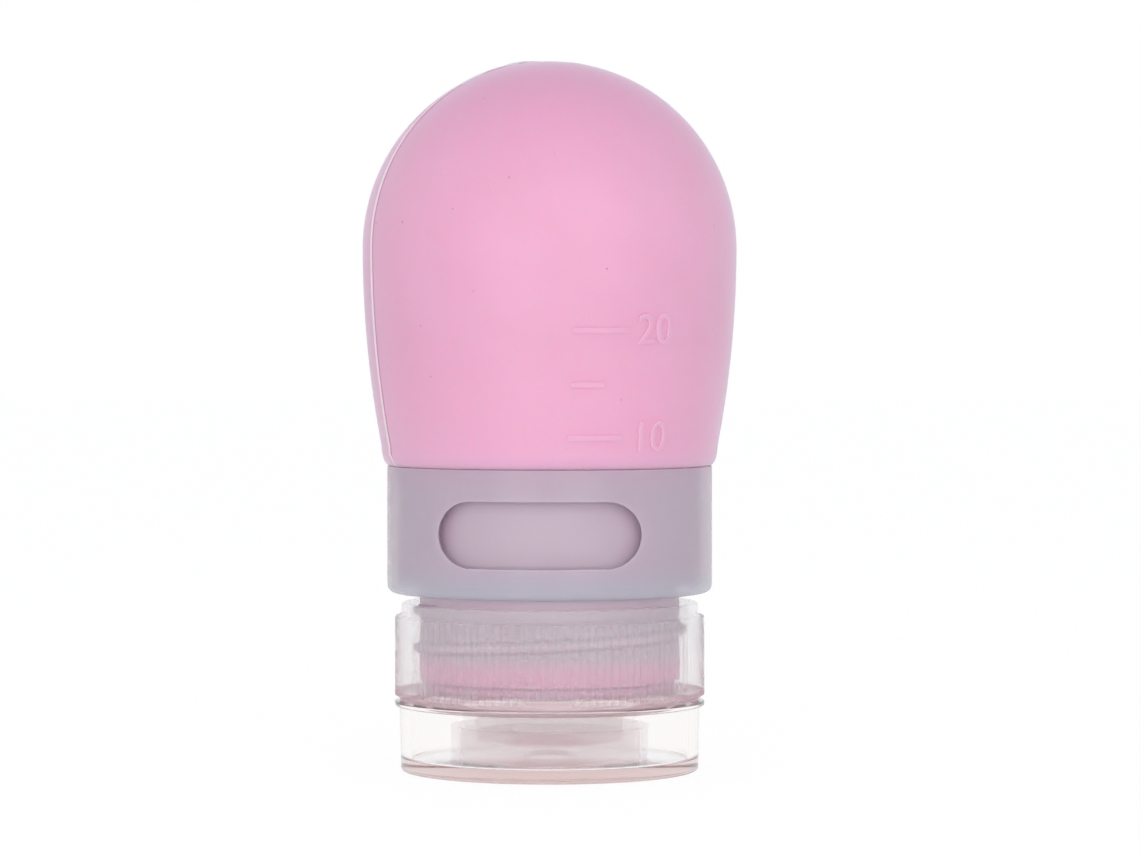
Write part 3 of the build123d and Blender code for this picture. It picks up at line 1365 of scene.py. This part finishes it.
@dataclass
class CollarSleeve:
    """The sleeve that turns round the label ring, with its window."""

    bore_radius: float = 16.2 * MM
    floor_radius: float = 13.55 * MM
    floor: float = 1.2 * MM
    base_round: float = 0.9 * MM
    edge: float = 0.15 * MM
    top_edge: float = 0.12 * MM
    window_width: float = 21.2 * MM
    window_height: float = 7.0 * MM
    window_turn: float = -4.0
    window_chords: int = 64
    cutter_depth: float = 12.0 * MM
    cutter_y: float = -16.0 * MM

    def window(self) -> bpy.types.Object:
        """Makes the solid that cuts the window, with its round ends."""
        clear_selection()
        radius = self.window_height / 2
        middle = (SIZES.collar_z + SIZES.collar_top_z) / 2
        bpy.ops.mesh.primitive_cylinder_add(
            vertices=self.window_chords,
            radius=radius,
            depth=self.cutter_depth,
            location=(0, self.cutter_y, middle),
            rotation=(math.radians(90), 0, 0),
        )
        cutter = named("window")
        set_down(cutter)
        shift = self.window_width / 2 - radius
        for side in (-1, 1):
            select_vertices(cutter, lambda vertex, side=side: vertex.co.x * side > WELD)
            bpy.ops.transform.translate(value=(side * shift, 0, 0))
            leave_edit()
        cutter.data.transform(Matrix.Rotation(math.radians(self.window_turn), 4, "Z"))
        return cutter

    def build(self, material: bpy.types.Material) -> None:
        """Builds the sleeve.

        Args:
            material: The sleeve's finish.
        """
        floor_z = SIZES.collar_z + self.floor
        outline = rounded(
            [
                Corner(self.floor_radius, SIZES.collar_z, self.edge),
                Corner(SIZES.collar_radius, SIZES.collar_z, self.base_round),
                Corner(SIZES.collar_radius, SIZES.collar_top_z, self.top_edge),
                Corner(self.bore_radius, SIZES.collar_top_z, self.edge),
                Corner(self.bore_radius, floor_z),
                Corner(self.floor_radius, floor_z, self.edge),
            ],
            steps=6,
        )
        collar = turn("collar", outline)
        work(collar, self.window(), Cut.REMOVE)
        finish(collar, material, Body.COLLAR, "collar_sleeve")


@dataclass
class Valve:
    """The slit valve in the spout and the ring that holds it."""

    flange_radius: float = 7.8 * MM
    flange_base_z: float = 3.43 * MM
    flange_top_z: float = 4.43 * MM
    cup_radius: float = 4.75 * MM
    cup_z: float = 2.58 * MM
    roll: float = 0.7 * MM
    foot_edge: float = 0.35 * MM
    edge: float = 0.2 * MM
    membrane: float = 0.6 * MM
    dish_under: tuple[Point, ...] = ((0.0, 0.25 * MM), (1.5 * MM, 0.2 * MM), (3.0 * MM, 0.0625 * MM))
    dish_rim: Point = (0.6 * MM, 0.1 * MM)
    dish_over: tuple[Point, ...] = ((2.0 * MM, 0.2 * MM), (0.0, 0.25 * MM))
    slit_length: float = 5.0 * MM
    slit_width: float = 0.12 * MM
    retainer_radius: float = 7.9 * MM
    retainer_bore: float = 5.9 * MM
    retainer_height: float = 2.0 * MM
    retainer_edge: float = 0.4 * MM

    def section(self) -> list[Point]:
        """The half section of the cup, from its dished foot over the flange to the membrane."""
        inner = self.cup_radius - self.roll
        top = self.cup_z + self.membrane
        rim = rounded(
            [
                Corner(self.cup_radius, self.cup_z, self.foot_edge),
                Corner(self.cup_radius, self.flange_base_z),
                Corner(self.flange_radius, self.flange_base_z, self.edge),
                Corner(self.flange_radius, self.flange_top_z, self.edge),
                Corner(inner, self.flange_top_z, self.edge),
                Corner(inner, top, self.edge),
                Corner(inner - self.dish_rim[0], top + self.dish_rim[1]),
            ]
        )
        outside = [(radius, self.cup_z + rise) for radius, rise in self.dish_under]
        inside = [(radius, top + rise) for radius, rise in self.dish_over]
        return outside + rim[:-1] + inside

    def retainer(self, material: bpy.types.Material) -> None:
        """Builds the ring that holds the valve.

        Args:
            material: The ring's finish.
        """
        top = self.flange_top_z + self.retainer_height
        outline = rounded(
            [
                Corner(self.retainer_bore, self.flange_top_z),
                Corner(self.retainer_radius, self.flange_top_z, self.edge),
                Corner(self.retainer_radius, top, self.edge),
                Corner(self.retainer_bore, top, self.retainer_edge),
            ]
        )
        ring = turn("retainer_ring", outline)
        finish(ring, material, Body.VALVE, "valve_retainer")

    def build(self, silicone: bpy.types.Material, plastic: bpy.types.Material) -> None:
        """Builds the valve and its retainer.

        Args:
            silicone: The valve's finish.
            plastic: The retainer's finish.
        """
        valve = turn("slit_valve_cup", self.section())
        middle = Vector((0, 0, self.cup_z + self.membrane))
        for along, across in ((self.slit_length, self.slit_width), (self.slit_width, self.slit_length)):
            slit = block("slit", middle, Vector((along, across, 4 * self.membrane)))
            work(valve, slit, Cut.REMOVE)
        finish(valve, silicone, Body.VALVE, "slit_valve")
        self.retainer(plastic)


@dataclass
class ScrewCap:
    """The knurled cap: skirt, deck, closing step, spout, inner thread and hinge ears."""

    rib_count: int = 120
    rib_steps: int = 6
    rib_depth: float = 0.28 * MM
    deck: float = 0.9 * MM
    rim_radius: float = 15.9 * MM
    knurl_base_gap: float = 0.3 * MM
    rib_taper: float = 0.25 * MM
    step_height: float = 0.62 * MM
    spout_draft: float = 0.3 * MM
    spout_edges: tuple[float, float, float] = (0.25 * MM, 0.4 * MM, 0.15 * MM)
    seat_edge: float = 0.1 * MM
    rim_step: float = 0.05 * MM
    edge: float = 0.12 * MM
    small_round: float = 0.2 * MM
    large_round: float = 0.3 * MM
    glow_rise: float = 0.1 * MM
    notch_width: float = 5.0 * MM
    notch_depth: float = 1.0 * MM
    notch_height: float = 1.2 * MM
    ear_root: float = 0.4 * MM
    ear_foot: float = 0.05 * MM
    pin_bore: float = 0.65 * MM
    thread_root: float = 0.1 * MM
    thread_height: float = 0.7 * MM
    thread_turns: float = 1.0
    thread_z: float = 12.4 * MM

    def section(self, root: float) -> list[Point]:
        """The half section of the whole cap, through the root between two ribs.

        Args:
            root: The radius of that root.

        Returns:
            The section's points.
        """
        deck_top = SIZES.cap_base_z + self.deck
        step_z = SIZES.cap_base_z - self.step_height
        knurl_z = SIZES.cap_base_z + self.knurl_base_gap
        mouth, tip, foot = self.spout_edges
        return rounded(
            [
                Corner(SIZES.orifice_radius, SIZES.spout_z, mouth),
                Corner(SIZES.spout_radius - self.spout_draft, SIZES.spout_z, tip),
                Corner(SIZES.spout_radius, step_z, foot),
                Corner(SIZES.step_radius, step_z, self.edge),
                Corner(SIZES.step_radius, SIZES.cap_base_z),
                Corner(SIZES.skirt_radius, SIZES.cap_base_z, self.edge),
                Corner(SIZES.skirt_radius, knurl_z),
                Corner(root, knurl_z + self.rib_taper),
                Corner(root, deck_top + self.glow_rise),
                Corner(root, SIZES.knurl_top_z - self.rib_taper),
                Corner(self.rim_radius, SIZES.knurl_top_z, self.rim_step),
                Corner(self.rim_radius, SIZES.cap_top_z, self.large_round),
                Corner(SIZES.cap_bore_radius, SIZES.cap_top_z, self.large_round),
                Corner(SIZES.cap_bore_radius, deck_top, self.large_round),
                Corner(SIZES.chamber_radius, deck_top, self.small_round),
                Corner(SIZES.chamber_radius, SIZES.valve_seat_z, self.small_round),
                Corner(SIZES.orifice_radius, SIZES.valve_seat_z, self.seat_edge),
            ],
            steps=3,
        )

    def shell(self) -> bpy.types.Object:
        """Turns one rib's width of the cap, raises its rib and copies it round."""
        wedge = FULL_TURN / self.rib_count
        root = SIZES.knurl_radius - self.rib_depth
        piece = draw_outline("cap", self.section(root))
        spin(self.rib_steps, wedge)
        leave_edit()
        set_down(piece)
        low = SIZES.cap_base_z + self.knurl_base_gap + self.rib_taper / 2
        high = SIZES.knurl_top_z - self.rib_taper / 2
        for index in range(1, self.rib_steps):
            rise = self.rib_depth * (1 - math.cos(FULL_TURN * index / self.rib_steps)) / 2
            target = wedge * index / self.rib_steps

            def on_rib(vertex: bpy.types.MeshVertex, target: float = target) -> bool:
                """Says whether a vertex lies on the skirt's outside at the target angle."""
                around = abs(math.atan2(vertex.co.y, vertex.co.x))
                outer = math.hypot(vertex.co.x, vertex.co.y) > root - WELD
                return outer and low < vertex.co.z < high and abs(around - target) < wedge / 20

            select_vertices(piece, on_rib)
            wide = 1 + rise / root
            bpy.ops.transform.resize(value=(wide, wide, 1), center_override=(0, 0, 0))
            leave_edit()
        edit_all()
        spin(self.rib_count, FULL_TURN, copies=True)
        weld_shell(piece)
        return piece

    def inner_thread(self) -> Thread:
        """The thread inside the skirt, which runs between the turns of the neck's thread."""
        return Thread(
            root=SIZES.cap_bore_radius + self.thread_root,
            crest=SIZES.cap_bore_radius - self.thread_height,
            base=self.thread_z,
            turns=self.thread_turns,
        )

    def notch(self) -> bpy.types.Object:
        """Makes the block that cuts the notch for the thumb."""
        centre = Vector((0, -SIZES.knurl_radius, SIZES.cap_base_z))
        size = Vector((self.notch_width, self.notch_depth, 2 * self.notch_height))
        return block("notch", centre, size, self.small_round)

    def ears(self) -> list[bpy.types.Object]:
        """Makes the two gusseted ears that hold the lid's trunnions."""
        brow = SIZES.barrel_radius * math.sin(math.radians(45))
        slope_top = SIZES.hinge_z + 2 * brow + SIZES.hinge_y - SIZES.skirt_radius
        root = SIZES.cap_bore_radius + self.ear_root
        outline = [(root, SIZES.cap_base_z + self.ear_foot)]
        outline += arc((SIZES.hinge_y, SIZES.hinge_z), SIZES.barrel_radius, 180, 405, 24)
        outline += [(SIZES.skirt_radius, slope_top), (root, slope_top)]
        ears = []
        for side in (-1, 1):
            inner = SIZES.barrel_length / 2 + SIZES.ear_gap
            start = inner if side > 0 else -inner - SIZES.ear_thickness
            ear = prism("ear", outline, start, SIZES.ear_thickness)
            centre = Vector((start + SIZES.ear_thickness / 2, SIZES.hinge_y, SIZES.hinge_z))
            work(ear, rod("bore", centre, self.pin_bore, 3 * SIZES.ear_thickness), Cut.REMOVE)
            ears.append(ear)
        return ears

    def on_deck(self, place: Vector) -> bool:
        """Says whether a face's middle lies on the deck or on the skirt round it."""
        around = math.hypot(place.x, place.y)
        between = SIZES.spout_radius + WELD < around < SIZES.knurl_radius + WELD
        return between and place.z < SIZES.cap_base_z + self.deck + 0.9 * self.glow_rise

    def on_spout(self, place: Vector) -> bool:
        """Says whether a face's middle lies on the spout or in its chamber."""
        around = math.hypot(place.x, place.y)
        low = place.z < SIZES.cap_base_z + self.deck - self.glow_rise
        return around <= SIZES.spout_radius + WELD and low

    def build(
        self, material: bpy.types.Material, deck_light: bpy.types.Material, pale: bpy.types.Material
    ) -> None:
        """Builds the cap.

        Args:
            material: The skirt's finish.
            deck_light: The deck's copy of the cap plastic, where the plastic is seen edge on: more
                opaque where it is thick, and deeper and pinker as painted pink light.
            pale: The spout's copy of the cap plastic, paler and clearer as a painted highlight.
        """
        cap = self.shell()
        work(cap, self.inner_thread().build(), Cut.ADD)
        work(cap, self.notch(), Cut.REMOVE)
        for ear in self.ears():
            work(cap, ear, Cut.ADD)
        finish(cap, material, Body.CAP, "screw_cap")
        # Painted pink light on the deck, as a copy of the cap plastic.
        redress(cap, deck_light, self.on_deck)
        # A painted highlight on the spout, as a copy of the cap plastic.
        redress(cap, pale, self.on_spout)


@dataclass
class FlipLid:
    """The clear lid: plate, wall, rim bead, sealing ring, nub and hinge barrel."""

    radius: float = 16.1 * MM
    draft: float = 0.15 * MM
    bore: float = 14.85 * MM
    plate: float = 1.4 * MM
    plate_round: float = 0.35 * MM
    plate_fillet: float = 0.3 * MM
    bead_radius: float = 16.6 * MM
    bead_height: float = 0.45 * MM
    bead_root: float = 0.1 * MM
    mouth_edge: float = 0.15 * MM
    seal_bore: float = 9.7 * MM
    seal_wall: float = 0.9 * MM
    seal_z: float = 5.0 * MM
    seal_root: float = 0.1 * MM
    seal_lead: float = 0.3 * MM
    seal_edge: float = 0.1 * MM
    seal_draft: float = 0.1 * MM
    nub_radius: float = 3.2 * MM
    nub_height: float = 0.9 * MM
    edge: float = 0.12 * MM
    arm_root: float = 0.5 * MM
    trunnion_radius: float = 0.6 * MM

    def section(self) -> list[Point]:
        """The half section from the nub over the ring and the wall to the plate's centre."""
        dome = (self.nub_radius**2 + self.nub_height**2) / (2 * self.nub_height)
        half = math.degrees(math.asin(self.nub_radius / dome))
        nub = arc((0, self.plate + self.nub_height - dome), dome, 90, 90 - half, 8)
        under_bead = SIZES.lid_height - self.bead_height
        outline = rounded(
            [
                Corner(self.bore, self.plate, self.plate_fillet),
                Corner(self.bore, SIZES.lid_height, self.mouth_edge),
                Corner(self.bead_radius, SIZES.lid_height, self.edge),
                Corner(self.bead_radius, under_bead, self.edge),
                Corner(self.radius, under_bead, self.bead_root),
                Corner(self.radius - self.draft, 0, self.plate_round),
                Corner(0, 0),
                Corner(self.nub_radius, self.plate),
            ],
            steps=6,
        )
        return nub[:-1] + [(self.nub_radius, self.plate)] + outline[:-2]

    def seal(self, material: bpy.types.Material) -> None:
        """Builds the hazy sealing ring that stands on the plate round the spout.

        Args:
            material: The ring's finish.
        """
        root = self.plate - self.seal_root
        wall = self.seal_bore + self.seal_wall
        outline = rounded(
            [
                Corner(self.seal_bore, root),
                Corner(self.seal_bore, self.seal_z, self.seal_lead),
                Corner(wall, self.seal_z, self.seal_edge),
                Corner(wall - self.seal_draft, root),
            ]
        )
        ring = turn("seal_ring", outline)
        finish(ring, material, Body.LID, "flip_lid")

    def hinge(self) -> list[bpy.types.Object]:
        """Makes the arm, the barrel and the two trunnions."""
        arm_low = SIZES.hinge_z - SIZES.barrel_radius
        root = self.bore + self.arm_root
        arm = block(
            "arm",
            Vector((0, (root + SIZES.hinge_y) / 2, (arm_low + SIZES.lid_height) / 2)),
            Vector((SIZES.barrel_length, SIZES.hinge_y - root, SIZES.lid_height - arm_low)),
        )
        pivot = Vector((0, SIZES.hinge_y, SIZES.hinge_z))
        barrel = rod("barrel", pivot, SIZES.barrel_radius, SIZES.barrel_length)
        reach = SIZES.barrel_length + 2 * (SIZES.ear_gap + SIZES.ear_thickness)
        pin = rod("pin", pivot, self.trunnion_radius, reach, self.edge)
        return [barrel, pin, arm]

    def build(self, material: bpy.types.Material, haze: bpy.types.Material) -> None:
        """Builds the lid and its sealing ring.

        Args:
            material: The lid's finish.
            haze: The sealing ring's finish.
        """
        lid = turn("clear_lid", self.section())
        for part in self.hinge():
            work(lid, part, Cut.ADD)
        finish(lid, material, Body.LID, "flip_lid")
        self.seal(haze)


@dataclass
class Studio:
    """The pale table, the soft lamps, the surroundings and the camera.

    The strengths named light, shine and clear are those of the world in front, at the sides and
    behind: for diffuse light, for reflections, and through clear walls.
    """

    focal_pixels: float = 4050.0
    image_width: float = 1140.0
    sensor: float = 36.0
    distance: float = 434.0 * MM
    eye_height: float = 46.0 * MM
    eye_side: float = 2.18 * MM
    pitch: float = 1.233
    clip: Point = (0.01, 20.0)
    table: float = 3.0
    table_front: float = 0.12
    table_gap: float = 0.05 * MM
    table_glow: float = 0.88
    table_white: float = 1.05
    lamp_turn: float = 20.0
    lamp_distance: float = 0.46
    lamp_size: Point = (0.27, 0.7)
    lamp_foot: float = -0.25
    lamp_power: float = 0.58
    table_colour: float = 0.95
    table_roughness: float = 0.6
    table_specular: float = 0.1
    light: tuple[float, float, float] = (0.87, 0.64, 1.0)
    shine: tuple[float, float, float] = (0.35, 0.8, 1.0)
    clear: tuple[float, float, float] = (1.0, 1.0, 1.0)
    horizon: float = 0.9
    light_above: float = 0.72
    light_tint: Colour = (0.955, 0.975, 1.0)
    clear_bounces: int = 32
    diffuse_bounces: int = 10
    glossy_bounces: int = 8

    def camera(self) -> None:
        """Sets the camera where the photograph was taken from."""
        data = bpy.data.cameras.new("camera")
        data.sensor_width = self.sensor
        data.lens = self.focal_pixels / self.image_width * self.sensor
        data.clip_start, data.clip_end = self.clip
        camera = bpy.data.objects.new("camera", data)
        camera.location = (self.eye_side, -self.distance, self.eye_height)
        camera.rotation_euler = (math.radians(90 - self.pitch), 0, 0)
        bpy.context.scene.collection.objects.link(camera)
        bpy.context.scene.camera = camera

    def lamp(self, name: str, turned: float) -> None:
        """Adds a tall soft lamp that reaches below the table's edge and faces the bottle.

        Args:
            name: The lamp's name.
            turned: Its place on the round, in degrees from the front.
        """
        data = bpy.data.lights.new(name, "AREA")
        data.shape = "RECTANGLE"
        data.size, data.size_y = self.lamp_size
        data.energy = self.lamp_power
        lamp = bpy.data.objects.new(name, data)
        angle = math.radians(turned)
        lamp.location = (
            self.lamp_distance * math.sin(angle),
            -self.lamp_distance * math.cos(angle),
            self.lamp_foot + self.lamp_size[1] / 2,
        )
        lamp.rotation_euler = (math.radians(90), 0, angle)
        lamp.visible_camera = False
        lamp.visible_transmission = False
        bpy.context.scene.collection.objects.link(lamp)

    def surroundings(self) -> None:
        """Makes the world: dimmer at the sides and above, and white where it is seen."""
        world = bpy.data.worlds.new("surroundings")
        bpy.context.scene.world = world
        world.use_nodes = True
        nodes = Nodes(world.node_tree)
        nodes.tree.nodes.clear()
        direction = nodes.add("ShaderNodeSeparateXYZ")
        nodes.join(nodes.add("ShaderNodeTexCoord").outputs["Generated"], direction.inputs["Vector"])
        above = nodes.span(direction.outputs["Z"], (0.0, self.horizon), (1.0, self.light_above))
        backgrounds = []
        for front, side, back in (self.light, self.shine, self.clear):
            forward = nodes.span(direction.outputs["Y"], (-self.horizon, 0.0), (front, side))
            behind = nodes.span(direction.outputs["Y"], (0.0, self.horizon), (0.0, back - side))
            background = nodes.add("ShaderNodeBackground")
            background.inputs["Color"].default_value = (*self.light_tint, 1.0)
            strength = nodes.work_out("MULTIPLY", nodes.work_out("ADD", forward, behind), above)
            nodes.join(strength, background.inputs["Strength"])
            backgrounds.append(background)
        white = nodes.add("ShaderNodeBackground")
        white.inputs["Color"].default_value = (*WHITE, 1.0)
        seen = backgrounds[0].outputs["Background"]
        rays = nodes.add("ShaderNodeLightPath")
        kinds = ("Is Glossy Ray", "Is Transmission Ray", "Is Camera Ray")
        for kind, background in zip(kinds, (backgrounds[1], backgrounds[2], white)):
            seen = nodes.pick(rays.outputs[kind], seen, background.outputs["Background"])
        nodes.join(seen, nodes.add("ShaderNodeOutputWorld").inputs["Surface"])

    def floor(self) -> None:
        """Lays the pale table that the bottle stands on."""
        clear_selection()
        middle = self.table / 2 - self.table_front
        bpy.ops.mesh.primitive_plane_add(size=self.table, location=(0, middle, -self.table_gap))
        table = named("table")
        set_down(table)
        board = NodeBoard(
            "table",
            {
                "Base Color": (self.table_colour, self.table_colour, self.table_colour, 1.0),
                "Roughness": self.table_roughness,
                "Specular IOR Level": self.table_specular,
            },
        )
        glow = board.add("ShaderNodeEmission")
        glow.inputs["Strength"].default_value = self.table_white
        rays = board.add("ShaderNodeLightPath").outputs
        shiny = board.work_out("MAXIMUM", rays["Is Glossy Ray"], rays["Is Transmission Ray"])
        seen = board.work_out("MAXIMUM", rays["Is Camera Ray"], shiny)
        share = board.work_out("MULTIPLY", seen, self.table_glow)
        surface = board.pick(share, board.shader.outputs["BSDF"], glow.outputs["Emission"])
        board.join(surface, board.output.inputs["Surface"])
        table.data.materials.append(board.material)

    def build(self) -> None:
        """Builds the whole studio."""
        self.camera()
        self.surroundings()
        self.floor()
        self.lamp("lamp_left", -self.lamp_turn)
        self.lamp("lamp_right", self.lamp_turn)
        cycles = bpy.context.scene.cycles
        cycles.max_bounces = self.clear_bounces
        cycles.transmission_bounces = self.clear_bounces
        cycles.transparent_max_bounces = self.clear_bounces
        cycles.diffuse_bounces = self.diffuse_bounces
        cycles.glossy_bounces = self.glossy_bounces


def main() -> None:
    """Builds the studio and every piece of the bottle."""
    logging.basicConfig(level=logging.INFO, format="%(name)s: %(message)s")
    bpy.context.scene.view_settings.view_transform = "Standard"
    Studio().build()
    SiliconeBody().build(PINK_SILICONE.material())
    ThreadedNeck().build(FROSTED_NECK.material())
    LabelRing().build(LILAC_LABEL.material())
    CollarSleeve().build(SMOKY_COLLAR.material())
    Valve().build(VALVE_RUBBER.material(), CLEAR_RETAINER.material())
    ScrewCap().build(HAZY_CAP.material(), DECK_PAINTED_LIGHT.material(), SPOUT_PAINTED_HIGHLIGHT.material())
    FlipLid().build(CLEAR_LID.material(), HAZY_SEAL.material())
    clear_selection()


if __name__ == "__main__":
    main()
